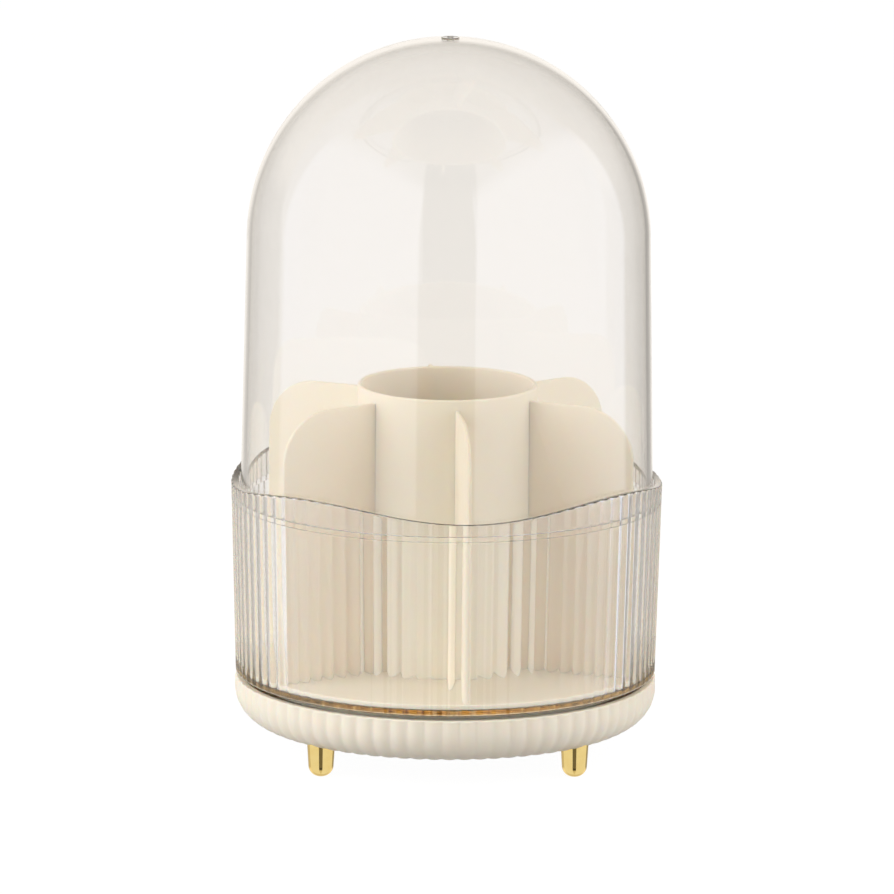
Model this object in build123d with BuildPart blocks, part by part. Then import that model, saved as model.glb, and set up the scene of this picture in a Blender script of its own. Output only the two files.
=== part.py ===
from build123d import *
import os
from math import cos, radians, sin

os.makedirs("parts", exist_ok=True)

# A round makeup brush holder. A clear dome stands in a clear reeded cup, on a ledge under the cup's
# wavy rim. A divider, one tube and six fins on a round plate, drops into the cup. The cup is screwed to
# a disc that turns on a ring of balls in a reeded base bowl, and the bowl stands on four tapered feet.
# Sizes are in millimetres. +Z is up, and the origin is under the middle, where the feet stand.
# Angles are in degrees, from the front (-Y) towards the right (+X).

# Layout
front_angle = -90.0
turn_at_rest = 5.0

# Clearances
cut_overrun = 1.0
lift_clearance = 0.4
running_clearance = 0.06
screw_clearance = 0.05
socket_clearance = 0.05

# Feet
foot_count = 4
foot_height = 10.2
foot_top_radius = 4.85
foot_tip_radius = 4.1
foot_tip_rounding = 3.1
foot_circle_radius = 61.5

# Base bowl
base_overhang = 0.2
base_height = 16.0
base_edge_radius = 12.0
base_wall = 2.2
base_reed_count = 76
base_reed_depth = 0.7
base_edge_sections = 7
foot_socket_depth = 2.0
foot_boss_margin = 0.6
foot_boss_thickness = 3.0

# Cup
cup_gap = 1.5
cup_bottom_radius = 72.8
cup_rim_radius = 74.7
cup_wall = 2.75
cup_floor = 1.7
cup_floor_rounding = 0.6
cup_reed_count = 90
cup_reed_depth = 0.35
ledge_rise = 60.6
ledge_thickness = 1.8
ledge_overlap = 1.2
rim_rise = 67.4
rim_wave = 2.4
rim_wave_count = 4
rim_points_per_wave = 12

# Dome
dome_height = 160.0
dome_taper = 1.8
dome_wall = 1.8
gate_disc_radius = 3.1
gate_disc_height = 0.5
gate_pip_radius = 1.0
gate_pip_height = 0.4

# Divider
plate_thickness = 1.8
plate_clearance = 0.9
plate_rounding = 0.3
tube_radius = 31.0
tube_wall = 1.5
tube_height = 99.6
fin_count = 6
fin_thickness = 1.4
fin_height = 96.0
fin_clearance = 0.6
fin_corner_radius = 18.0

# Turntable disc
disc_thickness = 2.8
disc_side_gap = 4.0
hub_length = 5.4
hub_wall = 2.2
boss_radius = 4.0
boss_length = 6.2

# Ball bearing
ball_count = 16
ball_radius = 2.5
ball_circle_radius = 45.0
ball_clearance = 0.05
groove_depth = 1.2
upper_track_depth = 2.4
track_width = 9.0
cage_thickness = 1.6
cage_pocket_clearance = 0.15

# Pivot
post_radius = 6.0
washer_radius = 9.0
washer_thickness = 0.8
washer_play = 0.3
washer_side_gap = 0.8
pivot_head_gap = 0.4
pivot_shank_radius = 1.75
pivot_shank_length = 9.0
pivot_head_radius = 3.4
pivot_head_height = 1.4

# Screws
foot_shank_radius = 1.4
foot_shank_length = 9.5
foot_head_radius = 2.7
foot_head_height = 1.8
cup_screw_count = 4
cup_screw_circle_radius = 21.0
cup_shank_radius = 1.4
cup_screw_length = 8.0
cup_head_radius = 2.9
cup_head_angle = 90.0
pilot_extra_depth = 0.8
recess_length_share = 0.62
recess_width_share = 0.22
recess_depth_share = 0.55

# Heights of the stack, from the feet up
base_bottom = foot_height
base_top = base_bottom + base_height
base_shoulder = base_bottom + base_edge_radius
base_floor_top = base_bottom + base_reed_depth + base_wall
cup_bottom = base_top + cup_gap
cup_floor_top = cup_bottom + cup_floor
ledge_top = cup_floor_top + ledge_rise
rim_mean = cup_floor_top + rim_rise
rim_top = rim_mean + rim_wave
dome_top = ledge_top + dome_height
disc_top = cup_bottom
disc_bottom = disc_top - disc_thickness
upper_track = disc_bottom - upper_track_depth
ball_middle = upper_track + groove_depth - ball_radius - ball_clearance
lower_track = 2 * ball_middle - upper_track
washer_pocket_depth = washer_play + washer_thickness + pivot_head_height + pivot_head_gap
washer_pocket_floor = disc_top - washer_pocket_depth
post_top = washer_pocket_floor + washer_play
washer_top = post_top + washer_thickness
foot_top = base_bottom + foot_socket_depth
foot_boss_top = foot_top + foot_boss_thickness

# Radii that follow from those
base_crest_radius = cup_bottom_radius + base_overhang
base_flat_radius = base_crest_radius - base_edge_radius
base_inner_radius = base_crest_radius - base_reed_depth - base_wall
disc_radius = base_inner_radius - disc_side_gap
foot_socket_radius = foot_top_radius + socket_clearance
foot_boss_radius = foot_socket_radius + foot_boss_margin
groove_radius = ball_radius + ball_clearance
track_inner_radius = ball_circle_radius - track_width / 2
track_outer_radius = ball_circle_radius + track_width / 2
washer_pocket_radius = washer_radius + washer_side_gap
hub_radius = washer_pocket_radius + hub_wall
hub_bore_radius = post_radius + running_clearance
cup_head_height = cup_head_radius - cup_shank_radius


def cup_radius(height):
    """The cup's radius over the crests of its reeds, widening evenly from its bottom to its rim."""
    return cup_bottom_radius + (cup_rim_radius - cup_bottom_radius) * (height - cup_bottom) / (
        rim_top - cup_bottom
    )


def cup_inside(height):
    """The radius of the cup's smooth inner wall."""
    return cup_radius(height) - cup_wall


dome_foot_radius = cup_inside(ledge_top) - lift_clearance
dome_radius = dome_foot_radius - dome_taper
ball_top = dome_top - gate_disc_height - gate_pip_height
ball_centre = ball_top - dome_radius
ledge_radius = dome_foot_radius - ledge_overlap
plate_radius = min(cup_inside(cup_floor_top), ledge_radius) - plate_clearance


def dome_inside(height):
    """The radius of the dome's inner wall, below its half ball."""
    taper_here = dome_taper * (height - ledge_top) / (ball_centre - ledge_top)
    return dome_foot_radius - taper_here - dome_wall


fin_shoulder = cup_floor_top + fin_height - fin_corner_radius
fin_radius = min(cup_inside(cup_floor_top), dome_inside(fin_shoulder)) - fin_clearance


def around(radius, angle):
    """The point at this radius and at this angle from the front."""
    return (radius * sin(radians(angle)), -radius * cos(radians(angle)))


def reeded_outline(crest_radius, reed_count, reed_depth, height, turn):
    """A closed ring of convex arcs, one to a reed, with the valleys on a smaller circle."""
    pitch = 360 / reed_count
    valley_radius = crest_radius - reed_depth
    with BuildSketch(Plane.XY.offset(height)) as outline:
        with BuildLine():
            for reed in range(reed_count):
                ThreePointArc(
                    around(valley_radius, turn + (reed - 0.5) * pitch),
                    around(crest_radius, turn + reed * pitch),
                    around(valley_radius, turn + (reed + 0.5) * pitch),
                )
        make_face()
    return outline.sketch


def rim_curve(radius):
    """The wavy rim carried to this radius: even waves, with a dip at the front of the turned cup."""
    point_count = rim_wave_count * rim_points_per_wave
    points = []
    for step in range(point_count):
        angle = 360 * step / point_count
        height = rim_mean - rim_wave * cos(radians(rim_wave_count * angle))
        points.append((*around(radius, angle + turn_at_rest), height))
    return Edge.make_spline(points, periodic=True)


def screw(shank_radius, shank_length, head_radius, head_height, countersunk):
    """A screw with its shank down from the head, and a cross recess in the top of the head.

    A pan head's seat, or a countersunk head's top, is at height zero.
    """
    seat = -head_height if countersunk else 0
    head_top = seat + head_height
    under_head = [] if countersunk else [(head_radius, seat)]
    with BuildPart() as body:
        with BuildSketch(Plane.XZ):
            with BuildLine():
                Polyline(
                    (0, -shank_length),
                    (shank_radius, -shank_length),
                    (shank_radius, seat),
                    *under_head,
                    (head_radius, head_top),
                    (0, head_top),
                    close=True,
                )
            make_face()
        revolve(axis=Axis.Z)
        with BuildSketch(Plane.XY.offset(head_top)):
            recess_length = 2 * head_radius * recess_length_share
            recess_width = 2 * head_radius * recess_width_share
            Rectangle(recess_length, recess_width)
            Rectangle(recess_width, recess_length)
        extrude(amount=-head_height * recess_depth_share, mode=Mode.SUBTRACT)
    return body.part


# Base bowl: reeded outside, smooth inside, with a ball track and a middle post. Each foot goes into a
# socket in the underside, below a boss for its screw
with BuildPart() as base_bowl:
    extrude(
        reeded_outline(base_crest_radius, base_reed_count, base_reed_depth, base_shoulder, 0),
        amount=base_top - base_shoulder,
    )
    edge_sections = []
    for section in range(base_edge_sections):
        roll = radians(90 * section / (base_edge_sections - 1))
        edge_sections.append(
            reeded_outline(
                base_flat_radius + base_edge_radius * cos(roll),
                base_reed_count,
                base_reed_depth,
                base_shoulder - base_edge_radius * sin(roll),
                0,
            )
        )
    loft(edge_sections)
    with BuildSketch(Plane.XZ):
        with BuildLine():
            floor_line = Line((0, base_floor_top), (base_flat_radius, base_floor_top))
            corner = TangentArc(
                floor_line @ 1, (base_inner_radius, base_shoulder), tangent=floor_line % 1
            )
            Polyline(
                corner @ 1,
                (base_inner_radius, base_top + cut_overrun),
                (0, base_top + cut_overrun),
                floor_line @ 0,
            )
        make_face()
    revolve(axis=Axis.Z, mode=Mode.SUBTRACT)
    with BuildSketch(Plane.XY.offset(base_floor_top)):
        Circle(track_outer_radius)
        Circle(track_inner_radius, mode=Mode.SUBTRACT)
    extrude(amount=lower_track - base_floor_top)
    with BuildSketch(Plane.XZ):
        with Locations((ball_circle_radius, ball_middle)):
            Circle(groove_radius)
    revolve(axis=Axis.Z, mode=Mode.SUBTRACT)
    with BuildSketch(Plane.XY.offset(base_floor_top)):
        Circle(post_radius)
    extrude(amount=post_top - base_floor_top)
    with BuildSketch(Plane.XY.offset(base_floor_top)):
        with PolarLocations(foot_circle_radius, foot_count, start_angle=front_angle + 45):
            Circle(foot_boss_radius)
    extrude(amount=foot_boss_top - base_floor_top)
    with BuildSketch(Plane.XY.offset(foot_top)):
        with PolarLocations(foot_circle_radius, foot_count, start_angle=front_angle + 45):
            Circle(foot_socket_radius)
    extrude(amount=-foot_socket_depth - cut_overrun, mode=Mode.SUBTRACT)
    with Locations((0, 0, post_top)):
        Hole(pivot_shank_radius + screw_clearance, pivot_shank_length + pilot_extra_depth)
    with Locations((0, 0, foot_boss_top)):
        with PolarLocations(foot_circle_radius, foot_count, start_angle=front_angle + 45):
            Hole(foot_shank_radius + screw_clearance, foot_boss_thickness + cut_overrun)
base_bowl.part.label = "base_bowl"
export_step(base_bowl.part, "parts/base_bowl.step")

# Feet: tapered, with a rounded tip and a small flat, and a pilot hole for the foot's screw
foot_angles = {
    "front_right_foot": 45,
    "rear_right_foot": 135,
    "rear_left_foot": 225,
    "front_left_foot": 315,
}
foot_hole_depth = foot_shank_length - foot_boss_thickness + pilot_extra_depth
for foot_name, foot_angle in foot_angles.items():
    foot_place = Vector(*around(foot_circle_radius, foot_angle))
    with BuildPart() as foot:
        with BuildSketch(Plane(foot_place, x_dir=(1, 0, 0), z_dir=(0, -1, 0))) as foot_profile:
            with BuildLine():
                Polyline(
                    (0, 0),
                    (foot_tip_radius, 0),
                    (foot_top_radius, foot_top),
                    (0, foot_top),
                    close=True,
                )
            make_face()
            tip_corner = foot_profile.vertices().group_by(Axis.Y)[0].sort_by(Axis.X)[-1]
            fillet(tip_corner, foot_tip_rounding)
        revolve(axis=Axis(foot_place, (0, 0, 1)))
        with Locations(foot_place + Vector(0, 0, foot_top)):
            Hole(foot_shank_radius + screw_clearance, foot_hole_depth)
    foot.part.label = foot_name
    export_step(foot.part, f"parts/{foot_name}.step")

# Foot screws: from inside the bowl, through its bosses, into the feet
foot_screw = screw(
    foot_shank_radius, foot_shank_length, foot_head_radius, foot_head_height, countersunk=False
)
with BuildPart(Plane.XY.offset(foot_boss_top)) as foot_screws:
    with PolarLocations(foot_circle_radius, foot_count, start_angle=front_angle + 45):
        add(foot_screw)
foot_screws.part.label = "foot_screws"
export_step(foot_screws.part, "parts/foot_screws.step")

# Bearing balls: loose in the cage's pockets, between the two tracks
with BuildPart(Plane.XY.offset(ball_middle)) as bearing_balls:
    with PolarLocations(ball_circle_radius, ball_count):
        Sphere(ball_radius)
bearing_balls.part.label = "bearing_balls"
export_step(bearing_balls.part, "parts/bearing_balls.step")

# Bearing cage: a flat ring that spaces the balls
with BuildPart() as bearing_cage:
    with BuildSketch(Plane.XY.offset(ball_middle - cage_thickness / 2)):
        Circle(track_outer_radius)
        Circle(track_inner_radius, mode=Mode.SUBTRACT)
        with PolarLocations(ball_circle_radius, ball_count):
            Circle(ball_radius + cage_pocket_clearance, mode=Mode.SUBTRACT)
    extrude(amount=cage_thickness)
bearing_cage.part.label = "bearing_cage"
export_step(bearing_cage.part, "parts/bearing_cage.step")

# Turntable disc: carries the cup, runs on the balls and turns about the post
with BuildPart() as turntable_disc:
    with BuildSketch(Plane.XY.offset(disc_bottom)):
        Circle(disc_radius)
    extrude(amount=disc_thickness)
    with BuildSketch(Plane.XY.offset(disc_bottom)):
        Circle(track_outer_radius)
        Circle(track_inner_radius, mode=Mode.SUBTRACT)
    extrude(amount=-upper_track_depth)
    with BuildSketch(Plane.XY.offset(disc_bottom)):
        Circle(hub_radius)
    extrude(amount=-hub_length)
    with BuildSketch(Plane.XY.offset(disc_bottom)):
        with PolarLocations(cup_screw_circle_radius, cup_screw_count, start_angle=turn_at_rest):
            Circle(boss_radius)
    extrude(amount=-boss_length)
    with BuildSketch(Plane.XZ):
        with Locations((ball_circle_radius, ball_middle)):
            Circle(groove_radius)
    revolve(axis=Axis.Z, mode=Mode.SUBTRACT)
    with Locations((0, 0, disc_top)):
        CounterBoreHole(hub_bore_radius, washer_pocket_radius, washer_pocket_depth)
        with PolarLocations(cup_screw_circle_radius, cup_screw_count, start_angle=turn_at_rest):
            Hole(cup_shank_radius + screw_clearance, cup_screw_length - cup_floor + pilot_extra_depth)
turntable_disc.part.label = "turntable_disc"
export_step(turntable_disc.part, "parts/turntable_disc.step")

# Pivot washer: keeps the disc on the post, with a little play
with BuildPart() as pivot_washer:
    with BuildSketch(Plane.XY.offset(post_top)):
        Circle(washer_radius)
        Circle(pivot_shank_radius + screw_clearance, mode=Mode.SUBTRACT)
    extrude(amount=washer_thickness)
pivot_washer.part.label = "pivot_washer"
export_step(pivot_washer.part, "parts/pivot_washer.step")

# Pivot screw: through the washer into the post
pivot_screw_shape = screw(
    pivot_shank_radius,
    pivot_shank_length + washer_thickness,
    pivot_head_radius,
    pivot_head_height,
    countersunk=False,
)
with BuildPart(Plane.XY.offset(washer_top)) as pivot_screw:
    add(pivot_screw_shape)
pivot_screw.part.label = "pivot_screw"
export_step(pivot_screw.part, "parts/pivot_screw.step")

# Cup: reeded outside, smooth inside, with the dome's ledge under a wavy rim
above_rim = Solid.extrude(
    Face.make_surface_from_curves(
        rim_curve(ledge_radius - cut_overrun), rim_curve(cup_rim_radius + cut_overrun)
    ),
    direction=(0, 0, 2 * rim_wave + 2 * cut_overrun),
)
blank_top = rim_top + cut_overrun
ledge_bottom = ledge_top - ledge_thickness
with BuildPart() as fluted_cup:
    loft(
        [
            reeded_outline(
                cup_radius(height), cup_reed_count, cup_reed_depth, height, turn_at_rest
            )
            for height in (cup_bottom, blank_top)
        ],
        ruled=True,
    )
    with BuildSketch(Plane.XZ) as cavity:
        with BuildLine():
            Polyline(
                (0, cup_floor_top),
                (cup_inside(cup_floor_top), cup_floor_top),
                (cup_inside(ledge_bottom), ledge_bottom),
                (ledge_radius, ledge_bottom),
                (ledge_radius, ledge_top),
                (cup_inside(ledge_top), ledge_top),
                (cup_inside(blank_top), blank_top + cut_overrun),
                (0, blank_top + cut_overrun),
                close=True,
            )
        make_face()
        fillet(cavity.vertices().group_by(Axis.Y)[0].sort_by(Axis.X)[-1], cup_floor_rounding)
    revolve(axis=Axis.Z, mode=Mode.SUBTRACT)
    add(above_rim, mode=Mode.SUBTRACT)
    with Locations((0, 0, cup_floor_top)):
        with PolarLocations(cup_screw_circle_radius, cup_screw_count, start_angle=turn_at_rest):
            CounterSinkHole(
                cup_shank_radius + screw_clearance,
                cup_head_radius + screw_clearance,
                cup_floor + cut_overrun,
                cup_head_angle,
            )
fluted_cup.part.label = "fluted_cup"
export_step(fluted_cup.part, "parts/fluted_cup.step")

# Cup screws: flush in the cup's floor, into the disc's bosses
cup_screw = screw(
    cup_shank_radius, cup_screw_length, cup_head_radius, cup_head_height, countersunk=True
)
with BuildPart(Plane.XY.offset(cup_floor_top)) as cup_screws:
    with PolarLocations(cup_screw_circle_radius, cup_screw_count, start_angle=turn_at_rest):
        add(cup_screw)
cup_screws.part.label = "cup_screws"
export_step(cup_screws.part, "parts/cup_screws.step")

# Divider: fins round a tube, on a plate that lies loose on the cup's floor
with BuildPart() as fin:
    with BuildSketch(Plane.XZ) as fin_outline:
        with BuildLine():
            Polyline(
                (tube_radius - tube_wall / 2, cup_floor_top),
                (fin_radius, cup_floor_top),
                (fin_radius, cup_floor_top + fin_height),
                (tube_radius - tube_wall / 2, cup_floor_top + fin_height),
                close=True,
            )
        make_face()
        top_corner = fin_outline.vertices().group_by(Axis.Y)[-1].sort_by(Axis.X)[-1]
        fillet(top_corner, fin_corner_radius)
    extrude(amount=fin_thickness / 2, both=True)
with BuildPart() as brush_insert:
    with BuildSketch(Plane.XY.offset(cup_floor_top)):
        Circle(plate_radius)
    extrude(amount=plate_thickness)
    fillet(brush_insert.edges(), plate_rounding)
    with BuildSketch(Plane.XY.offset(cup_floor_top)):
        Circle(tube_radius)
        Circle(tube_radius - tube_wall, mode=Mode.SUBTRACT)
    extrude(amount=tube_height)
    with PolarLocations(0, fin_count, start_angle=front_angle + turn_at_rest):
        add(fin.part)
brush_insert.part.label = "brush_insert"
export_step(brush_insert.part, "parts/brush_insert.step")

# Dome: a tapered wall that runs into a half ball, with the mark of its gate on top
with BuildPart() as dome_cover:
    with BuildSketch(Plane.XZ):
        with BuildLine():
            Line((dome_foot_radius, ledge_top), (dome_radius, ball_centre))
            CenterArc((0, ball_centre), dome_radius, 0, 90)
            Line((0, ball_top), (0, ball_top - dome_wall))
            CenterArc((0, ball_centre), dome_radius - dome_wall, 0, 90)
            Polyline(
                (dome_radius - dome_wall, ball_centre),
                (dome_foot_radius - dome_wall, ledge_top),
                (dome_foot_radius, ledge_top),
            )
        make_face()
    revolve(axis=Axis.Z)
    with BuildSketch(Plane.XY.offset(ball_top - dome_wall / 2)):
        Circle(gate_disc_radius)
    extrude(amount=dome_wall / 2 + gate_disc_height)
    with BuildSketch(Plane.XY.offset(ball_top + gate_disc_height)):
        Circle(gate_pip_radius)
    extrude(amount=gate_pip_height)
dome_cover.part.label = "dome_cover"
export_step(dome_cover.part, "parts/dome_cover.step")
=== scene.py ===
import bpy
import numpy as np
from mathutils import Matrix, Vector


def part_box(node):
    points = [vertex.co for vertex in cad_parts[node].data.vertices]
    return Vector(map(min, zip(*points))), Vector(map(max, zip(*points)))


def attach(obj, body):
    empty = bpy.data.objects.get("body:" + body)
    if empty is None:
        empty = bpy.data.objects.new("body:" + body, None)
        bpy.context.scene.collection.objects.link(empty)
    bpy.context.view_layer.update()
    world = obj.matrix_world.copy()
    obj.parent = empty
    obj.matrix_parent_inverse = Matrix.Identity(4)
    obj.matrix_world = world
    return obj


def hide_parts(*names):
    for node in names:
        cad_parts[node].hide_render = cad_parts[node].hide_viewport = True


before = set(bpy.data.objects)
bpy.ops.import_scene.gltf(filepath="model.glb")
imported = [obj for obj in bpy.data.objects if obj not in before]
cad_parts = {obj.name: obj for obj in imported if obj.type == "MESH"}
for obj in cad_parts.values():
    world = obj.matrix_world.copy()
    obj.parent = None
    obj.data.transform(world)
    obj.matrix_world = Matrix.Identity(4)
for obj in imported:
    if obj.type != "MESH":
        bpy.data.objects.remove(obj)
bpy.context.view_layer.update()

# A round makeup brush holder: a clear dome in a clear reeded cup, a cream divider of a tube and six
# fins on a round plate, a cream reeded base and four gold feet. Shapes are worked out in millimetres
# and put into the meshes in metres. +Z is up and the front faces -Y. Angles run from the front towards
# the right (+X).
MM = 0.001
FULL_TURN = 2 * np.pi


def box_mm(node):
    """A solid's lowest and highest corners, in millimetres."""
    low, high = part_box(node)
    return np.array(low) / MM, np.array(high) / MM


# Heights and reaches that the solids give
base_low, base_high = box_mm("base_bowl")
cup_low, cup_high = box_mm("fluted_cup")
dome_low, dome_high = box_mm("dome_cover")
divider_low, divider_high = box_mm("brush_insert")
balls_low, balls_high = box_mm("bearing_balls")
base_bottom, base_top, base_crest = base_low[2], base_high[2], base_high[0]
cup_bottom, rim_top = cup_low[2], cup_high[2]
ledge_top, dome_top, dome_foot_radius = dome_low[2], dome_high[2], dome_high[0]
cup_floor_top, plate_radius, tube_top = divider_low[2], divider_high[0], divider_high[2]
post_top = box_mm("pivot_washer")[0][2]
ball_middle = (balls_low[2] + balls_high[2]) / 2
ball_radius = (balls_high[2] - balls_low[2]) / 2
ball_circle_radius = balls_high[0] - ball_radius

# Sizes of the cup
turn_at_rest = np.radians(5.0)
cup_bottom_radius = 72.8
cup_rim_radius = 74.7
cup_wall = 2.75
cup_reed_count = 90
cup_reed_depth = 0.35
cup_floor_rounding = 0.6
cup_edge_rounding = 0.8
rim_wave = 2.4
rim_wave_count = 4
rim_rounding = 0.7
rim_mean = rim_top - rim_wave
ledge_thickness = 1.8
ledge_overlap = 1.2
ledge_rounding = 0.06
cup_screw_count = 4
cup_screw_circle_radius = 21.0
cup_head_radius = 2.9
screw_hole_gap = 0.1
screw_field_radius = 28.0
screw_field_slope = 0.4
floor_edge_radius = 58.0
level_share = 0.9
screw_head_stand = 0.06
air_film = 0.05

# Sizes of the dome
dome_taper = 1.8
dome_wall = 1.8
dome_lip_rounding = 0.5
dome_seat_gap = 0.08
gate_disc_radius = 3.1
gate_disc_height = 0.5
gate_pip_radius = 1.0
gate_pip_height = 0.4
gate_rounding = 0.15
dome_radius = dome_foot_radius - dome_taper
ball_centre = dome_top - gate_disc_height - gate_pip_height - dome_radius

# Sizes of the divider
plate_thickness = 1.8
plate_rounding = 0.3
tube_radius = 31.0
tube_wall = 1.5
tube_lip_rounding = 0.6
fin_count = 6
fin_thickness = 1.4
fin_height = 96.0
fin_corner_radius = 18.0
fin_clearance = 0.6

# Sizes of the base bowl
base_edge_radius = 12.0
base_wall = 2.2
base_reed_count = 76
base_reed_depth = 0.7
base_reed_fade = 4.0
base_reed_low_share = 0.45
base_lip_rounding = 0.6
small_rounding = 0.4
post_radius = 6.0
track_width = 9.0
groove_clearance = 0.05
groove_depth = 1.2
foot_boss_radius = 5.5
foot_boss_thickness = 3.0

# Sizes of the feet
foot_tip_radius = 4.1
foot_tip_rounding = 3.8
foot_top_rounding = 0.25

# Fineness of the meshes
arc_step = 0.6
hold_length = 0.3
least_arc_steps = 4
cup_reed_steps = 14
base_reed_steps = 8
valley_share = 0.1
plain_columns = 256
small_columns = 64
dome_arc_steps = 72
pole_radius = 0.5
sharp_angle = np.radians(40.0)


def cup_radius(height):
    """The cup's radius over its crests: it widens evenly from its bottom to its rim."""
    slope = (cup_rim_radius - cup_bottom_radius) / (rim_top - cup_bottom)
    return cup_bottom_radius + slope * (height - cup_bottom)


def cup_inside(height):
    """The radius of the cup's smooth inner wall: one wall less than over the crests."""
    return cup_radius(height) - cup_wall


def dome_inside(height):
    """The radius of the dome's inner wall below its half ball: it narrows evenly upwards."""
    taper_here = dome_taper * (height - ledge_top) / (ball_centre - ledge_top)
    return dome_foot_radius - taper_here - dome_wall


def unit(way):
    """A direction made one unit long."""
    return way / np.linalg.norm(way)


def rounded_corner(before, corner, after, rounding):
    """One corner of a profile, swapped for an arc that touches both its sides.

    The arc starts and ends at rounding / tan(half the corner's angle) from the corner, and its centre
    lies on the bisector at rounding / sin(half the angle). Points between turn evenly about the centre.
    """
    if rounding == 0:
        return corner[None, :]
    back, on = unit(before - corner), unit(after - corner)
    half = np.arccos(np.clip(back @ on, -1, 1)) / 2
    centre = corner + unit(back + on) * rounding / np.sin(half)
    start = corner + back * rounding / np.tan(half) - centre
    end = corner + on * rounding / np.tan(half) - centre
    sweep = np.pi - 2 * half
    steps = max(least_arc_steps, int(np.ceil(rounding * sweep / arc_step)))
    share = np.linspace(0, 1, steps + 1)[:, None]
    return centre + (start * np.sin((1 - share) * sweep) + end * np.sin(share * sweep)) / np.sin(sweep)


def held(profile):
    """A profile with a point just inside each end of its long straight runs, to hold them straight.

    Without these the smooth shading of a rounded edge would bend light along the whole run.
    """
    length = np.linalg.norm(np.diff(profile, axis=0), axis=1)
    run = np.flatnonzero(length > 4 * hold_length)
    inset = hold_length / length[run]
    place = np.arange(len(profile))
    places = np.sort(np.concatenate([place, run + inset, run + 1 - inset]))
    return np.stack([np.interp(places, place, axis) for axis in profile.T], axis=1)


def rounded_profile(corners, loop=False):
    """A line through (across, up, rounding) corners, each rounded. A loop also rounds its two ends."""
    table = np.array(corners, float)
    points, roundings = table[:, :2], table[:, 2]
    before, after = np.roll(points, 1, axis=0), np.roll(points, -1, axis=0)
    if not loop:
        roundings[[0, -1]] = 0
    arcs = [rounded_corner(*corner) for corner in zip(before, points, after, roundings)]
    if loop:
        return held(np.concatenate([*arcs, arcs[0][:1]]))[:-1]
    return held(np.concatenate(arcs))


def outward(profile, loop=False):
    """The profile's outward direction at each point: its own direction turned a quarter to the left."""
    if loop:
        along = np.roll(profile, -1, axis=0) - np.roll(profile, 1, axis=0)
    else:
        along = np.gradient(profile, axis=0)
    along = along / np.linalg.norm(along, axis=1, keepdims=True)
    return np.stack([-along[:, 1], along[:, 0]], axis=1)


def reed_valleys(count, steps):
    """How far below its crests a reeded wall lies, round one turn: 0 on a crest, 1 in a valley.

    A reed is a parabola, the square of the distance from its crest. Near the valley a second parabola,
    curved the other way, meets it at the same height and slope and rounds the valley out.
    """
    place = np.arange(count * steps) / steps
    from_crest = np.abs(place - np.round(place))
    knee = 0.5 - valley_share
    deepest = (2 * knee) ** 2 + 4 * knee * valley_share
    valley = deepest - 4 * knee / valley_share * (0.5 - from_crest) ** 2
    return np.where(from_crest < knee, (2 * from_crest) ** 2, valley) / deepest


def turned(radius, height, first_angle=0.0, centre=(0.0, 0.0)):
    """A profile carried round an upright axis.

    x is the radius times the angle's sine and y is minus the radius times its cosine, so that the
    angle starts at the front. radius and height hold a row for each point of the profile and a column
    for each angle.
    """
    angle = first_angle + FULL_TURN * np.arange(radius.shape[1]) / radius.shape[1]
    across, deep = radius * np.sin(angle), -radius * np.cos(angle)
    return np.stack([across + centre[0], deep + centre[1], height], axis=-1)


def turned_profile(profile, columns, centre=(0.0, 0.0)):
    """A plain profile carried round, with the same radius and height at every angle."""
    radius = np.repeat(profile[:, :1], columns, axis=1)
    height = np.repeat(profile[:, 1:], columns, axis=1)
    return turned(radius, height, centre=centre)


def skin(rings, ends):
    """Points and faces of a surface given as rings of points, a quad between each two neighbours.

    ends "poles" closes the first and last ring with triangles to its middle, "faces" with one flat
    face, and "loop" joins the last ring to the first.
    """
    rows, columns = rings.shape[:2]
    place = np.arange(rows * columns).reshape(rows, columns)
    upper, lower = (place, np.roll(place, -1, axis=0)) if ends == "loop" else (place[:-1], place[1:])
    quads = [upper, lower, np.roll(lower, -1, axis=1), np.roll(upper, -1, axis=1)]
    faces = np.stack(quads, axis=-1).reshape(-1, 4).tolist()
    points = rings.reshape(-1, 3)
    first, last = place[0], place[-1]
    if ends == "poles":
        points = np.concatenate([points, rings[[0, -1]].mean(axis=1)])
        first_pole = np.full(columns, rows * columns)
        faces += np.stack([first_pole, first, np.roll(first, -1)], axis=-1).tolist()
        faces += np.stack([last, first_pole + 1, np.roll(last, -1)], axis=-1).tolist()
    if ends == "faces":
        faces += [first.tolist(), last[::-1].tolist()]
    return points, faces


def make_piece(name, skins, material, body, slot, *nodes):
    """A piece of the holder: its skins joined in one smooth mesh that stands for solids of a body."""
    points, faces = [], []
    for skin_points, skin_faces in skins:
        start = sum(len(part) for part in points)
        points.append(skin_points)
        faces += [[start + corner for corner in face] for face in skin_faces]
    mesh = bpy.data.meshes.new(name)
    mesh.from_pydata(np.concatenate(points) * MM, [], faces)
    mesh.polygons.foreach_set("use_smooth", np.ones(len(mesh.polygons), bool))
    mesh.set_sharp_from_angle(angle=sharp_angle)
    mesh.materials.append(material)
    piece = bpy.data.objects.new(name, mesh)
    bpy.context.scene.collection.objects.link(piece)
    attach(piece, body)
    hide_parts(*nodes)
    return piece


# Materials

# Indexes of refraction
styrene_ior = 1.57
abs_ior = 1.53
nylon_ior = 1.53

# Widths of the patterns, heights of the bumps and reach of light inside, in millimetres
ripple_width, ripple_height = 22.0, 0.15
wipe_width = 9.0
drift_width = 35.0
grain_width, grain_height = 0.5, 0.03
cloud_width = 6.0
plate_patch_width = 3.0
steel_patch_width = 1.5
light_reach = 3.0

# Roughness from the smoothest to the roughest places
styrene_roughness = (0.0, 0.03)
satin_roughness = (0.38, 0.5)
gold_roughness = (0.05, 0.1)
steel_roughness = (0.18, 0.3)
hole_roughness = (0.0, 0.02)
nylon_roughness = 0.35


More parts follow.
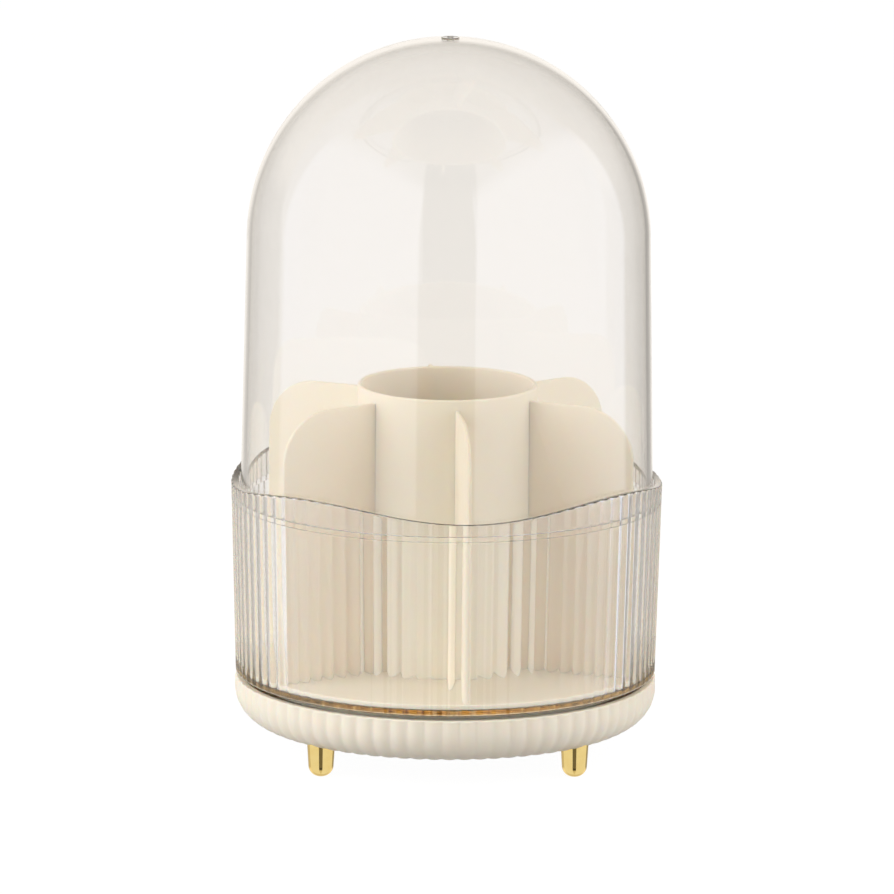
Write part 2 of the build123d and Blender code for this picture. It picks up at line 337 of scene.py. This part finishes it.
def linear(hex_colour):
    """An sRGB hex colour as linear red, green, blue and alpha."""
    encoded = np.array([int(hex_colour[place : place + 2], 16) for place in (1, 3, 5)]) / 255
    decoded = np.where(encoded <= 0.04045, encoded / 12.92, ((encoded + 0.055) / 1.055) ** 2.4)
    return (*decoded, 1.0)


def add_node(tree, kind, inputs=None, **settings):
    """Adds a node with its settings. Each input gets a value, or a link where a socket is given."""
    made = tree.nodes.new(kind)
    for setting, value in settings.items():
        setattr(made, setting, value)
    for socket, value in (inputs or {}).items():
        if isinstance(value, bpy.types.NodeSocket):
            tree.links.new(value, made.inputs[socket])
        else:
            made.inputs[socket].default_value = value
    return made


def start_material(name):
    """An empty node material, with its output and the object's own coordinates."""
    material = bpy.data.materials.new(name)
    material.use_nodes = True
    tree = material.node_tree
    tree.nodes.clear()
    output = add_node(tree, "ShaderNodeOutputMaterial")
    place = add_node(tree, "ShaderNodeTexCoord").outputs["Object"]
    return material, tree, output, place


def per_mm(size):
    """The texture scale at which one patch of a pattern is this many millimetres wide."""
    return 1 / (size * MM)


def let_light_through(tree, plastic):
    """A clear plastic that lets lamps and scattered light through, so that what stands inside is lit."""
    see_through = add_node(tree, "ShaderNodeBsdfTransparent", {"Color": linear("#fefefd")})
    rays = add_node(tree, "ShaderNodeLightPath")
    surface = plastic
    for straight in ("Is Diffuse Ray", "Is Shadow Ray"):
        surface = add_node(
            tree,
            "ShaderNodeMixShader",
            {0: rays.outputs[straight], 1: surface.outputs[0], 2: see_through.outputs[0]},
        )
    return surface.outputs[0]


def clear_styrene(name, colour):
    """Clear polystyrene, injection moulded and polished: sharp reflections, faintly warm where thick.

    Slow ripples of a cooled moulding and faint wiping marks keep it from being perfect glass.
    """
    material, tree, output, place = start_material(name)
    ripple = add_node(
        tree, "ShaderNodeTexNoise", {"Vector": place, "Scale": per_mm(ripple_width), "Detail": 1.0}
    )
    bump = add_node(
        tree,
        "ShaderNodeBump",
        {"Height": ripple.outputs["Fac"], "Strength": 0.05, "Distance": ripple_height * MM},
    )
    wiped = add_node(
        tree, "ShaderNodeTexNoise", {"Vector": place, "Scale": per_mm(wipe_width), "Detail": 3.0}
    )
    gloss = add_node(
        tree,
        "ShaderNodeMapRange",
        {
            "Value": wiped.outputs["Fac"],
            "From Min": 0.35,
            "From Max": 0.7,
            "To Min": styrene_roughness[0],
            "To Max": styrene_roughness[1],
        },
    )
    plastic = add_node(
        tree,
        "ShaderNodeBsdfPrincipled",
        {
            "Base Color": linear(colour),
            "Roughness": gloss.outputs["Result"],
            "IOR": styrene_ior,
            "Transmission Weight": 1.0,
            "Normal": bump.outputs["Normal"],
        },
    )
    tree.links.new(let_light_through(tree, plastic), output.inputs["Surface"])
    return material


def styrene_on_cream(name, lets_light_through):
    """The same clear polystyrene where it lies between cream faces, over and under the cup's floor.

    Light that runs along the floor meets those faces again and again, and each time takes on some of
    their colour. The glass's own cream tint paints that colour on, so that the floor's edge looks tan.
    The edge also keeps light out of the slit below it.
    """
    material, tree, output, place = start_material(name)
    # Painted light: the cream tint stands in for the colour that guided light picks up from the cream
    # faces
    plastic = add_node(
        tree, "ShaderNodeBsdfGlass", {"Color": linear("#fbf2df"), "Roughness": 0.0, "IOR": styrene_ior}
    )
    surface = let_light_through(tree, plastic) if lets_light_through else plastic.outputs[0]
    tree.links.new(surface, output.inputs["Surface"])
    return material


def cream_abs():
    """Cream ABS, injection moulded with a fine satin texture: soft highlights and an even colour.

    The colour drifts slightly over a few centimetres. The grain is drawn coarser than the real 0.1 mm
    so that it shows.
    """
    material, tree, output, place = start_material("cream_moulded_abs")
    drift = add_node(
        tree, "ShaderNodeTexNoise", {"Vector": place, "Scale": per_mm(drift_width), "Detail": 2.0}
    )
    colour = add_node(
        tree,
        "ShaderNodeMix",
        {0: drift.outputs["Fac"], 6: linear("#f0e8da"), 7: linear("#ece4d4")},
        data_type="RGBA",
    )
    grain = add_node(
        tree, "ShaderNodeTexNoise", {"Vector": place, "Scale": per_mm(grain_width), "Detail": 2.0}
    )
    bump = add_node(
        tree,
        "ShaderNodeBump",
        {"Height": grain.outputs["Fac"], "Strength": 0.12, "Distance": grain_height * MM},
    )
    satin = add_node(
        tree,
        "ShaderNodeMapRange",
        {"Value": grain.outputs["Fac"], "To Min": satin_roughness[0], "To Max": satin_roughness[1]},
    )
    plastic = add_node(
        tree,
        "ShaderNodeBsdfPrincipled",
        {
            "Base Color": colour.outputs[2],
            "Roughness": satin.outputs["Result"],
            "IOR": abs_ior,
            "Subsurface Weight": 0.3,
            "Subsurface Radius": (1.0, 0.5, 0.25),
            "Subsurface Scale": light_reach * MM,
            "Normal": bump.outputs["Normal"],
        },
    )
    tree.links.new(plastic.outputs[0], output.inputs["Surface"])
    return material


def polished_metal(name, pale, deep, roughness, patch_width):
    """A polished metal whose colour and gloss drift a little over patches of the given width."""
    material, tree, output, place = start_material(name)
    drift = add_node(
        tree, "ShaderNodeTexNoise", {"Vector": place, "Scale": per_mm(patch_width), "Detail": 3.0}
    )
    colour = add_node(
        tree,
        "ShaderNodeMix",
        {0: drift.outputs["Fac"], 6: linear(pale), 7: linear(deep)},
        data_type="RGBA",
    )
    gloss = add_node(
        tree,
        "ShaderNodeMapRange",
        {"Value": drift.outputs["Fac"], "To Min": roughness[0], "To Max": roughness[1]},
    )
    metal = add_node(
        tree,
        "ShaderNodeBsdfPrincipled",
        {"Base Color": colour.outputs[2], "Metallic": 1.0, "Roughness": gloss.outputs["Result"]},
    )
    tree.links.new(metal.outputs[0], output.inputs["Surface"])
    return material


def natural_nylon():
    """Natural nylon, injection moulded: an off-white with a waxy gloss and a cloudy colour."""
    material, tree, output, place = start_material("natural_nylon")
    cloud = add_node(
        tree, "ShaderNodeTexNoise", {"Vector": place, "Scale": per_mm(cloud_width), "Detail": 3.0}
    )
    colour = add_node(
        tree,
        "ShaderNodeMix",
        {0: cloud.outputs["Fac"], 6: linear("#ece9df"), 7: linear("#dedacb")},
        data_type="RGBA",
    )
    plastic = add_node(
        tree,
        "ShaderNodeBsdfPrincipled",
        {
            "Base Color": colour.outputs[2],
            "Roughness": nylon_roughness,
            "IOR": nylon_ior,
            "Subsurface Weight": 0.1,
        },
    )
    tree.links.new(plastic.outputs[0], output.inputs["Surface"])
    return material


clear = clear_styrene("clear_moulded_styrene", "#fdfcfb")
clear_dome = clear_styrene("clear_moulded_dome_styrene", "#fbf9f6")
clear_floor = styrene_on_cream("clear_styrene_on_cream", True)
clear_floor_edge = styrene_on_cream("clear_styrene_edge_on_cream", False)
cream = cream_abs()
gold = polished_metal("gold_plate", "#fadf92", "#f2d07c", gold_roughness, plate_patch_width)
steel = polished_metal("zinc_plated_steel", "#c9cbcd", "#b4b7ba", steel_roughness, steel_patch_width)
# Light that runs along the clear floor glances off the walls of the screw holes, as off a mirror.
# Their cream tint paints the colour that this light picks up between the cream faces.
hole_wall = polished_metal(
    "light_turning_hole_wall", "#faf1de", "#f7eed8", hole_roughness, plate_patch_width
)
nylon = natural_nylon()

# Pieces


def cup_skin():
    """The cup: a profile from the middle of its floor, up inside, over the rim and down the reeds.

    The reeds' depth follows how far the profile faces outwards. Above the ledge each point also rises
    or falls with the rim's wave, by its share of the way from the ledge to the rim, and keeps to the
    wall's slope.
    """
    ledge_radius = dome_foot_radius - ledge_overlap
    ledge_bottom = ledge_top - ledge_thickness
    screw_floor = cup_floor_top - screw_head_stand
    under_floor = cup_bottom + air_film
    profile = rounded_profile(
        [
            (pole_radius, screw_floor, 0),
            (screw_field_radius, screw_floor, 0),
            (screw_field_radius + screw_field_slope, cup_floor_top, 0),
            (floor_edge_radius, cup_floor_top, 0),
            (cup_inside(cup_floor_top), cup_floor_top, cup_floor_rounding),
            (cup_inside(ledge_bottom), ledge_bottom, ledge_rounding),
            (ledge_radius, ledge_bottom, ledge_rounding),
            (ledge_radius, ledge_top, ledge_rounding),
            (cup_inside(ledge_top), ledge_top, ledge_rounding),
            (cup_inside(rim_mean), rim_mean, rim_rounding),
            (cup_radius(rim_mean), rim_mean, rim_rounding),
            (cup_radius(ledge_top), ledge_top, 0),
            (cup_radius(under_floor), under_floor, cup_edge_rounding),
            (floor_edge_radius, under_floor, 0),
            (pole_radius, under_floor, 0),
        ]
    )
    valleys = reed_valleys(cup_reed_count, cup_reed_steps)
    angle = FULL_TURN * np.arange(len(valleys)) / len(valleys)
    wave = -rim_wave * np.cos(rim_wave_count * angle)
    reeded = np.clip(outward(profile)[:, 0], 0, 1)
    wave_share = np.clip((profile[:, 1] - ledge_top) / (rim_mean - ledge_top), 0, 1)
    height = profile[:, 1:] + np.outer(wave_share, wave)
    radius = profile[:, :1] + cup_radius(height) - cup_radius(profile[:, 1:])
    radius = radius - cup_reed_depth * np.outer(reeded, valleys)
    return skin(turned(radius, height, turn_at_rest), "poles")


def screw_hole_skin(angle):
    """The room round a screw in the cup's floor: a turned hollow whose faces look in at its axis."""
    top = cup_floor_top - screw_head_stand - air_film
    bottom = cup_bottom + 2 * air_film
    reach = cup_head_radius + screw_hole_gap
    centre = (cup_screw_circle_radius * np.sin(angle), -cup_screw_circle_radius * np.cos(angle))
    profile = rounded_profile(
        [(pole_radius, bottom, 0), (reach, bottom, 0), (reach, top, 0), (pole_radius, top, 0)]
    )
    return skin(turned_profile(profile, small_columns, centre), "poles")


def dome_skin():
    """The dome: from the gate mark on top, down the half ball and the tapered wall, and up inside.

    On the half ball the radius is the ball's times the sine of the angle from the top, and the height
    is the ball's centre plus the ball's radius times the cosine.
    """
    gate_top = dome_top - gate_pip_height
    lip = ledge_top + dome_seat_gap
    inner_radius = dome_radius - dome_wall
    gate_angle = np.arcsin(gate_disc_radius / dome_radius)
    gate_foot = ball_centre + dome_radius * np.cos(gate_angle)
    from_top = np.linspace(gate_angle, np.pi / 2, dome_arc_steps)
    to_top = np.linspace(np.pi / 2, np.arcsin(pole_radius / inner_radius), dome_arc_steps)
    gate = rounded_profile(
        [
            (pole_radius / 2, dome_top, 0),
            (gate_pip_radius, dome_top, gate_rounding),
            (gate_pip_radius, gate_top, gate_rounding),
            (gate_disc_radius, gate_top, gate_rounding),
            (gate_disc_radius, gate_foot, 0),
        ]
    )
    outside = np.stack([np.sin(from_top), np.cos(from_top)], axis=1) * dome_radius
    inside = np.stack([np.sin(to_top), np.cos(to_top)], axis=1) * inner_radius
    wall = rounded_profile(
        [
            (dome_radius, ball_centre, 0),
            (dome_foot_radius, lip, dome_lip_rounding),
            (dome_foot_radius - dome_wall, lip, dome_lip_rounding),
            (inner_radius, ball_centre, 0),
        ]
    )
    middle = np.array([0, ball_centre])
    profile = np.concatenate([gate, outside[1:] + middle, wall[1:-1], inside + middle])
    return skin(turned_profile(profile, plain_columns), "poles")


def plate_skin():
    """The divider's plate: a thin round block with rounded edges, turned about the upright axis."""
    top = cup_floor_top + plate_thickness
    bottom = cup_floor_top + air_film
    profile = rounded_profile(
        [
            (pole_radius, top, 0),
            (plate_radius, top, plate_rounding),
            (plate_radius, bottom, plate_rounding),
            (pole_radius, bottom, 0),
        ]
    )
    return skin(turned_profile(profile, plain_columns), "poles")


def tube_skin():
    """The divider's tube: an upright wall's rounded outline carried round as a closed loop."""
    bottom = cup_floor_top + plate_thickness / 2
    inside = tube_radius - tube_wall
    outline = rounded_profile(
        [
            (inside, bottom, small_rounding),
            (inside, tube_top, tube_lip_rounding),
            (tube_radius, tube_top, tube_lip_rounding),
            (tube_radius, bottom, small_rounding),
        ],
        loop=True,
    )
    return skin(turned_profile(outline, plain_columns), "loop")


def fin_skin(angle):
    """One fin of the divider: a flat plate with one large round corner and half-round edges.

    Each point of the outline carries a half circle across the plate: the outline moves in by half the
    thickness times one minus the cosine, and sideways by half the thickness times the sine.
    """
    half = fin_thickness / 2
    shoulder = cup_floor_top + fin_height - fin_corner_radius
    reach = min(cup_inside(cup_floor_top), dome_inside(shoulder)) - fin_clearance
    root = tube_radius - tube_wall / 2
    bottom = cup_floor_top + plate_thickness / 2
    outline = rounded_profile(
        [
            (root, bottom, half),
            (reach, bottom, half),
            (reach, cup_floor_top + fin_height, fin_corner_radius),
            (root, cup_floor_top + fin_height, half),
        ],
        loop=True,
    )
    across = np.linspace(-np.pi / 2, np.pi / 2, 2 * least_arc_steps + 1)[:, None]
    inset = half * (np.cos(across) - 1)
    normal = -outward(outline, loop=True)
    out = outline[:, 0] + inset * normal[:, 0]
    up = outline[:, 1] + inset * normal[:, 1]
    side = np.repeat(half * np.sin(across), len(outline), axis=1)
    right = out * np.sin(angle) + side * np.cos(angle)
    deep = side * np.sin(angle) - out * np.cos(angle)
    return skin(np.stack([right, deep, up], axis=-1), "faces")


def base_skin():
    """The base bowl: from the middle post out over the ball track, up inside and down the reeds.

    The reeds sink along the surface's own outward direction, so that they run on round the lower edge.
    They get shallower as it turns under, and fade out over a few millimetres of the flat underside.
    """
    floor_top = base_bottom + base_reed_depth + base_wall
    inner_radius = base_crest - base_reed_depth - base_wall
    flat_radius = base_crest - base_edge_radius
    groove_radius = ball_radius + groove_clearance
    track_top = ball_middle - groove_radius + groove_depth
    groove_angle = np.arccos((ball_middle - track_top) / groove_radius)
    groove_half = groove_radius * np.sin(groove_angle)
    groove_corner = ball_middle - groove_radius / np.cos(groove_angle)
    profile = rounded_profile(
        [
            (pole_radius, post_top, 0),
            (post_radius, post_top, small_rounding),
            (post_radius, floor_top, small_rounding),
            (ball_circle_radius - track_width / 2, floor_top, small_rounding),
            (ball_circle_radius - track_width / 2, track_top, small_rounding),
            (ball_circle_radius - groove_half, track_top, 0),
            (ball_circle_radius, groove_corner, groove_radius),
            (ball_circle_radius + groove_half, track_top, 0),
            (ball_circle_radius + track_width / 2, track_top, small_rounding),
            (ball_circle_radius + track_width / 2, floor_top, small_rounding),
            (inner_radius, floor_top, inner_radius - flat_radius),
            (inner_radius, base_top, base_lip_rounding),
            (base_crest, base_top, base_lip_rounding),
            (base_crest, base_bottom, base_edge_radius),
            (flat_radius - base_reed_fade, base_bottom, 0),
            (pole_radius, base_bottom, 0),
        ]
    )
    valleys = reed_valleys(base_reed_count, base_reed_steps)
    normal = outward(profile)
    under = np.clip(-normal[:, 1], 0, 1)
    outside = np.clip(np.maximum(normal[:, 0], under), 0, 1)
    fade = np.clip((profile[:, 0] - flat_radius) / base_reed_fade + 1, 0, 1)
    fade = fade * (1 - (1 - base_reed_low_share) * under)
    depth = base_reed_depth * np.outer(outside * fade, valleys)
    radius = profile[:, :1] - depth * normal[:, :1]
    height = profile[:, 1:] - depth * normal[:, 1:]
    return skin(turned(radius, height), "poles")


def foot_boss_skin(low, high):
    """A boss inside the base bowl, over a foot, that the foot's screw goes through: a turned block."""
    centre = (low + high)[:2] / 2
    top = high[2] + foot_boss_thickness
    bottom = base_bottom + base_wall
    profile = rounded_profile(
        [
            (pole_radius, top, 0),
            (foot_boss_radius, top, small_rounding),
            (foot_boss_radius, bottom, foot_top_rounding),
            (pole_radius, bottom, 0),
        ]
    )
    return skin(turned_profile(profile, small_columns, centre), "poles")


def foot_skin(low, high):
    """A foot: a slim cone turned about its own axis, with a well rounded tip and a small flat."""
    centre = (low + high)[:2] / 2
    top_radius = (high - low)[0] / 2
    profile = rounded_profile(
        [
            (pole_radius, high[2], 0),
            (top_radius, high[2], foot_top_rounding),
            (foot_tip_radius, low[2], foot_tip_rounding),
            (pole_radius, low[2], 0),
        ]
    )
    return skin(turned_profile(profile, small_columns, centre), "poles")


fin_angles = turn_at_rest + FULL_TURN * np.arange(fin_count) / fin_count
foot_nodes = ["front_left_foot", "front_right_foot", "rear_left_foot", "rear_right_foot"]
foot_boxes = {node: box_mm(node) for node in foot_nodes}
bosses = [foot_boss_skin(low, high) for low, high in foot_boxes.values()]
make_piece("reeded_base", [base_skin(), *bosses], cream, "base", "cream_plastic", "base_bowl")
screw_angles = turn_at_rest + FULL_TURN * np.arange(cup_screw_count) / cup_screw_count
cup_skins = [cup_skin(), *[screw_hole_skin(angle) for angle in screw_angles]]
cup = make_piece("reeded_cup", cup_skins, clear, "turntable", "clear_plastic", "fluted_cup")
# The cup's floor, its outer ring and the walls of its screw holes have finishes of their own
for finish in (clear_floor, hole_wall, clear_floor_edge):
    cup.data.materials.append(finish)
wall_finish, floor_finish, hole_finish, edge_finish = range(len(cup.data.materials))
cup_faces = cup.data.polygons
lies_flat = [abs(face.normal.z) > level_share for face in cup_faces]
below_top = [face.center.z < cup_floor_top * MM for face in cup_faces]
near_edge = [face.center.xy.length > floor_edge_radius * MM for face in cup_faces]
floor_finishes = np.where(near_edge, edge_finish, floor_finish)
cup_finishes = np.where(np.logical_and(lies_flat, below_top), floor_finishes, wall_finish)
cup_finishes[len(cup_skins[0][1]) :] = hole_finish
cup_faces.foreach_set("material_index", cup_finishes)
make_piece("clear_dome", [dome_skin()], clear_dome, "dome", "clear_plastic", "dome_cover")
fins = [fin_skin(angle) for angle in fin_angles]
divider = [plate_skin(), tube_skin(), *fins]
make_piece("brush_divider", divider, cream, "insert", "cream_plastic", "brush_insert")
for node, (low, high) in foot_boxes.items():
    make_piece(f"{node}_plated", [foot_skin(low, high)], gold, "base", "gold_plate", node)

kept_finishes = {
    "turntable_disc": cream,
    "bearing_cage": nylon,
    "bearing_balls": steel,
    "pivot_screw": steel,
    "pivot_washer": steel,
    "cup_screws": steel,
    "foot_screws": steel,
}
for node, finish in kept_finishes.items():
    for material_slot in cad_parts[node].material_slots:
        material_slot.material = finish

# Studio

floor_half_width = 4.0
floor_white = 0.97
floor_shadow_share = 0.07
floor_bounce = 0.45


def seen_directly(tree):
    """1 for rays from the camera, from gloss and through clear plastic, and 0 for scattered light."""
    rays = add_node(tree, "ShaderNodeLightPath")
    shiny = add_node(
        tree,
        "ShaderNodeMath",
        {0: rays.outputs["Is Glossy Ray"], 1: rays.outputs["Is Transmission Ray"]},
        operation="MAXIMUM",
    )
    seen = add_node(
        tree,
        "ShaderNodeMath",
        {0: rays.outputs["Is Camera Ray"], 1: shiny.outputs[0]},
        operation="MAXIMUM",
    )
    return seen.outputs[0], rays


def reflected_ray(tree, rays):
    """1 for a ray that has met a reflection on its way, and 0 for one that has only passed through."""
    reflected = add_node(
        tree, "ShaderNodeMath", {0: rays.outputs["Glossy Depth"], 1: 0.5}, operation="GREATER_THAN"
    )
    return reflected.outputs[0]


def white_paper():
    """White card: it looks white, keeps a light shadow and scatters light. Gloss meets the world."""
    material, tree, output, place = start_material("white_card")
    seen, rays = seen_directly(tree)
    reflected = reflected_ray(tree, rays)
    glow = add_node(
        tree, "ShaderNodeEmission", {"Color": linear("#ffffff"), "Strength": floor_white}
    )
    shade = add_node(tree, "ShaderNodeBsdfDiffuse", {"Color": (*[floor_shadow_share] * 3, 1.0)})
    looks = add_node(tree, "ShaderNodeAddShader", {0: glow.outputs[0], 1: shade.outputs[0]})
    paper = add_node(tree, "ShaderNodeBsdfDiffuse", {"Color": (*[floor_bounce] * 3, 1.0)})
    sweep = add_node(
        tree, "ShaderNodeMixShader", {0: seen, 1: paper.outputs[0], 2: looks.outputs[0]}
    )
    open_way = add_node(tree, "ShaderNodeBsdfTransparent")
    surface = add_node(
        tree, "ShaderNodeMixShader", {0: reflected, 1: sweep.outputs[0], 2: open_way.outputs[0]}
    )
    tree.links.new(surface.outputs[0], output.inputs["Surface"])
    return material


corner = floor_half_width
floor_mesh = bpy.data.meshes.new("floor")
floor_corners = [
    (-corner, -corner, 0),
    (corner, -corner, 0),
    (corner, corner, 0),
    (-corner, corner, 0),
]
floor_mesh.from_pydata(floor_corners, [], [(0, 1, 2, 3)])
floor_mesh.materials.append(white_paper())
floor = bpy.data.objects.new("floor", floor_mesh)
bpy.context.scene.collection.objects.link(floor)

# Softboxes: turn from the front, half width and top as shares of the distance
camera_turn = np.radians(-1.5)
left_box = (camera_turn + np.radians(-62.8), 1.028, 1.1)
right_box = (camera_turn + np.radians(67.7), 1.294, 1.1)
left_radiance = 3.35
right_radiance = 2.3
softbox_distance = 1.0
softbox_edge_share = 0.03
softbox_fade_share = 0.25
softbox_core_share = 0.6
lamp_colour = linear("#fafdff")

# What reflections meet: how bright each part of the room is, and the spans of the direction's X, Y or Z
# over which it takes over from the part before
box_colour = linear("#f3f5ff")
wall_colour = linear("#fffaf3")
reflected_box_level = 1.0
front_level = 0.3
left_room_level = 0.6
right_room_level = 0.3
backdrop_level = 1.0
ceiling_level = 0.5
table_level = 1.0
front_table_level = 0.06
down_level = 0.72
room_span = (-0.6, -0.2)
room_sides_span = (-0.5, 1.0)
backdrop_span = (0.92, 0.985)
ceiling_span = (0.6, 0.9)
table_span = (-0.25, -0.45)
front_table_span = (-0.85, -0.4)
down_span = (-0.55, -0.85)

# Scattered light that fills the shadows: warm and dim at the sides, brighter behind and above
side_ambient_colour = linear("#ffe6c8")
back_ambient_colour = linear("#fff7ee")
top_ambient_colour = linear("#ffe8cc")
side_ambient_level = 0.14
back_ambient_level = 1.0
top_ambient_level = 0.8
back_ambient_span = (0.2, 0.8)
top_ambient_span = (0.6, 0.95)


def softbox_glow(tree, way, turn, half_width, top):
    """How much of a softbox a direction meets, from 0 to 1.

    Along the direction, the way across and the way up are divided by the way ahead to the softbox,
    and compared with its half width and its top.
    """
    facing = (np.sin(turn), -np.cos(turn), 0.0)
    sideways = (np.cos(turn), np.sin(turn), 0.0)
    ahead = add_node(tree, "ShaderNodeVectorMath", {0: way, 1: facing}, operation="DOT_PRODUCT")
    across = add_node(tree, "ShaderNodeVectorMath", {0: way, 1: sideways}, operation="DOT_PRODUCT")
    upward = add_node(tree, "ShaderNodeSeparateXYZ", {0: way})
    glow = add_node(
        tree, "ShaderNodeMath", {0: ahead.outputs["Value"], 1: 0.0}, operation="GREATER_THAN"
    ).outputs[0]
    edges = [
        (across.outputs["Value"], half_width, softbox_edge_share),
        (upward.outputs["Z"], top, softbox_fade_share),
    ]
    for offset, limit, softness in edges:
        share = add_node(
            tree, "ShaderNodeMath", {0: offset, 1: ahead.outputs["Value"]}, operation="DIVIDE"
        )
        reach = share.outputs[0]
        if limit == half_width:
            reach = add_node(tree, "ShaderNodeMath", {0: reach}, operation="ABSOLUTE").outputs[0]
        inside = add_node(
            tree,
            "ShaderNodeMapRange",
            {
                "Value": reach,
                "From Min": limit * (1 - softness),
                "From Max": limit * (1 + softness),
                "To Min": 1.0,
                "To Max": 0.0,
            },
            interpolation_type="SMOOTHSTEP",
        )
        glow = add_node(
            tree, "ShaderNodeMath", {0: glow, 1: inside.outputs[0]}, operation="MULTIPLY"
        ).outputs[0]
    return glow


def studio_world():
    """A white room for the camera and through clear plastic, and a studio for reflections.

    Reflections meet two softboxes with a dark gap between them at the front, a dim room on both sides,
    a white backdrop, a grey ceiling and a white table that is dark in front. Each level gives way to the
    next along one axis. Scattered light meets only the ambient levels.
    """
    world = bpy.data.worlds.new("studio")
    bpy.context.scene.world = world
    world.use_nodes = True
    tree = world.node_tree
    tree.nodes.clear()
    way = add_node(tree, "ShaderNodeTexCoord").outputs["Generated"]
    axes = add_node(tree, "ShaderNodeSeparateXYZ", {0: way})
    room = add_node(
        tree,
        "ShaderNodeMapRange",
        {
            "Value": axes.outputs["X"],
            "From Min": room_sides_span[0],
            "From Max": room_sides_span[1],
            "To Min": left_room_level,
            "To Max": right_room_level,
        },
    )
    table = add_node(
        tree,
        "ShaderNodeMapRange",
        {
            "Value": axes.outputs["Y"],
            "From Min": front_table_span[0],
            "From Max": front_table_span[1],
            "To Min": front_table_level,
            "To Max": table_level,
        },
    )
    level = front_level
    for axis, span, next_level in (
        ("Y", room_span, room.outputs[0]),
        ("Y", backdrop_span, backdrop_level),
        ("Z", ceiling_span, ceiling_level),
        ("Z", table_span, table.outputs[0]),
        ("Z", down_span, down_level),
    ):
        level = add_node(
            tree,
            "ShaderNodeMapRange",
            {
                "Value": axes.outputs[axis],
                "From Min": span[0],
                "From Max": span[1],
                "To Min": level,
                "To Max": next_level,
            },
            interpolation_type="SMOOTHSTEP",
        ).outputs[0]
    glow = add_node(
        tree,
        "ShaderNodeMath",
        {0: softbox_glow(tree, way, *left_box), 1: softbox_glow(tree, way, *right_box)},
        operation="MAXIMUM",
    )
    white = add_node(tree, "ShaderNodeBackground", {"Color": linear("#ffffff"), "Strength": 1.0})
    walls = add_node(tree, "ShaderNodeBackground", {"Color": wall_colour, "Strength": level})
    boxes = add_node(
        tree, "ShaderNodeBackground", {"Color": box_colour, "Strength": reflected_box_level}
    )
    studio = add_node(
        tree, "ShaderNodeMixShader", {0: glow.outputs[0], 1: walls.outputs[0], 2: boxes.outputs[0]}
    )
    backward = add_node(
        tree,
        "ShaderNodeMapRange",
        {
            "Value": axes.outputs["Y"],
            "From Min": back_ambient_span[0],
            "From Max": back_ambient_span[1],
        },
    )
    side_ambient = add_node(
        tree, "ShaderNodeBackground", {"Color": side_ambient_colour, "Strength": side_ambient_level}
    )
    back_ambient = add_node(
        tree, "ShaderNodeBackground", {"Color": back_ambient_colour, "Strength": back_ambient_level}
    )
    around = add_node(
        tree,
        "ShaderNodeMixShader",
        {0: backward.outputs[0], 1: side_ambient.outputs[0], 2: back_ambient.outputs[0]},
    )
    top_ambient = add_node(
        tree, "ShaderNodeBackground", {"Color": top_ambient_colour, "Strength": top_ambient_level}
    )
    upward = add_node(
        tree,
        "ShaderNodeMapRange",
        {
            "Value": axes.outputs["Z"],
            "From Min": top_ambient_span[0],
            "From Max": top_ambient_span[1],
        },
    )
    ambient = add_node(
        tree,
        "ShaderNodeMixShader",
        {0: upward.outputs[0], 1: around.outputs[0], 2: top_ambient.outputs[0]},
    )
    seen, rays = seen_directly(tree)
    shown = add_node(
        tree,
        "ShaderNodeMixShader",
        {0: reflected_ray(tree, rays), 1: white.outputs[0], 2: studio.outputs[0]},
    )
    surface = add_node(
        tree, "ShaderNodeMixShader", {0: seen, 1: ambient.outputs[0], 2: shown.outputs[0]}
    )
    output = add_node(tree, "ShaderNodeOutputWorld")
    tree.links.new(surface.outputs[0], output.inputs["Surface"])


def softbox(name, radiance, turn, half_width, top):
    """A large upright lamp that faces the holder's axis from an angle round the front.

    Its power is its radiance times pi times its area, which is the bright core of the softbox that the
    world draws for gloss. It only lights.
    """
    lamp = bpy.data.lights.new(name, "AREA")
    lamp.shape = "RECTANGLE"
    lamp.color = lamp_colour[:3]
    lamp.size = 2 * half_width * softbox_core_share * softbox_distance
    lamp.size_y = top * softbox_distance
    lamp.energy = radiance * np.pi * lamp.size * lamp.size_y
    facing = Vector((-np.sin(turn), np.cos(turn), 0.0))
    place = Vector((0.0, 0.0, lamp.size_y / 2)) - facing * softbox_distance
    lamp_object = bpy.data.objects.new(name, lamp)
    turned_to = facing.to_track_quat("-Z", "Y").to_matrix().to_4x4()
    lamp_object.matrix_world = Matrix.Translation(place) @ turned_to
    lamp_object.visible_camera = False
    lamp_object.visible_glossy = False
    lamp_object.visible_transmission = False
    bpy.context.scene.collection.objects.link(lamp_object)


studio_world()
softbox("left_softbox", left_radiance, *left_box)
softbox("right_softbox", right_radiance, *right_box)

# Camera, at the photograph's angle, with its slight roll
camera_distance = 3.0
camera_elevation = np.radians(11.67)
camera_roll = np.radians(0.47)
camera_aim = Vector((0.0, 0.0, 0.1063))
camera_lens = 349.5
camera_sensor = 36.0

camera_data = bpy.data.cameras.new("camera")
camera_data.lens = camera_lens
camera_data.sensor_width = camera_sensor
camera = bpy.data.objects.new("camera", camera_data)
ahead = Vector((np.sin(camera_turn), -np.cos(camera_turn), 0.0))
away = ahead * np.cos(camera_elevation) + Vector((0.0, 0.0, np.sin(camera_elevation)))
level_turn = (-away).to_track_quat("-Z", "Y").to_matrix().to_4x4()
rolled = level_turn @ Matrix.Rotation(camera_roll, 4, "Z")
camera.matrix_world = Matrix.Translation(camera_aim + away * camera_distance) @ rolled
bpy.context.scene.collection.objects.link(camera)
bpy.context.scene.camera = camera
bpy.context.scene.view_settings.view_transform = "Standard"

# Light meets many faces of clear plastic in a row before it comes out
light_paths = bpy.context.scene.cycles
light_paths.max_bounces = 24
light_paths.glossy_bounces = 16
light_paths.transmission_bounces = 24
light_paths.transparent_max_bounces = 24
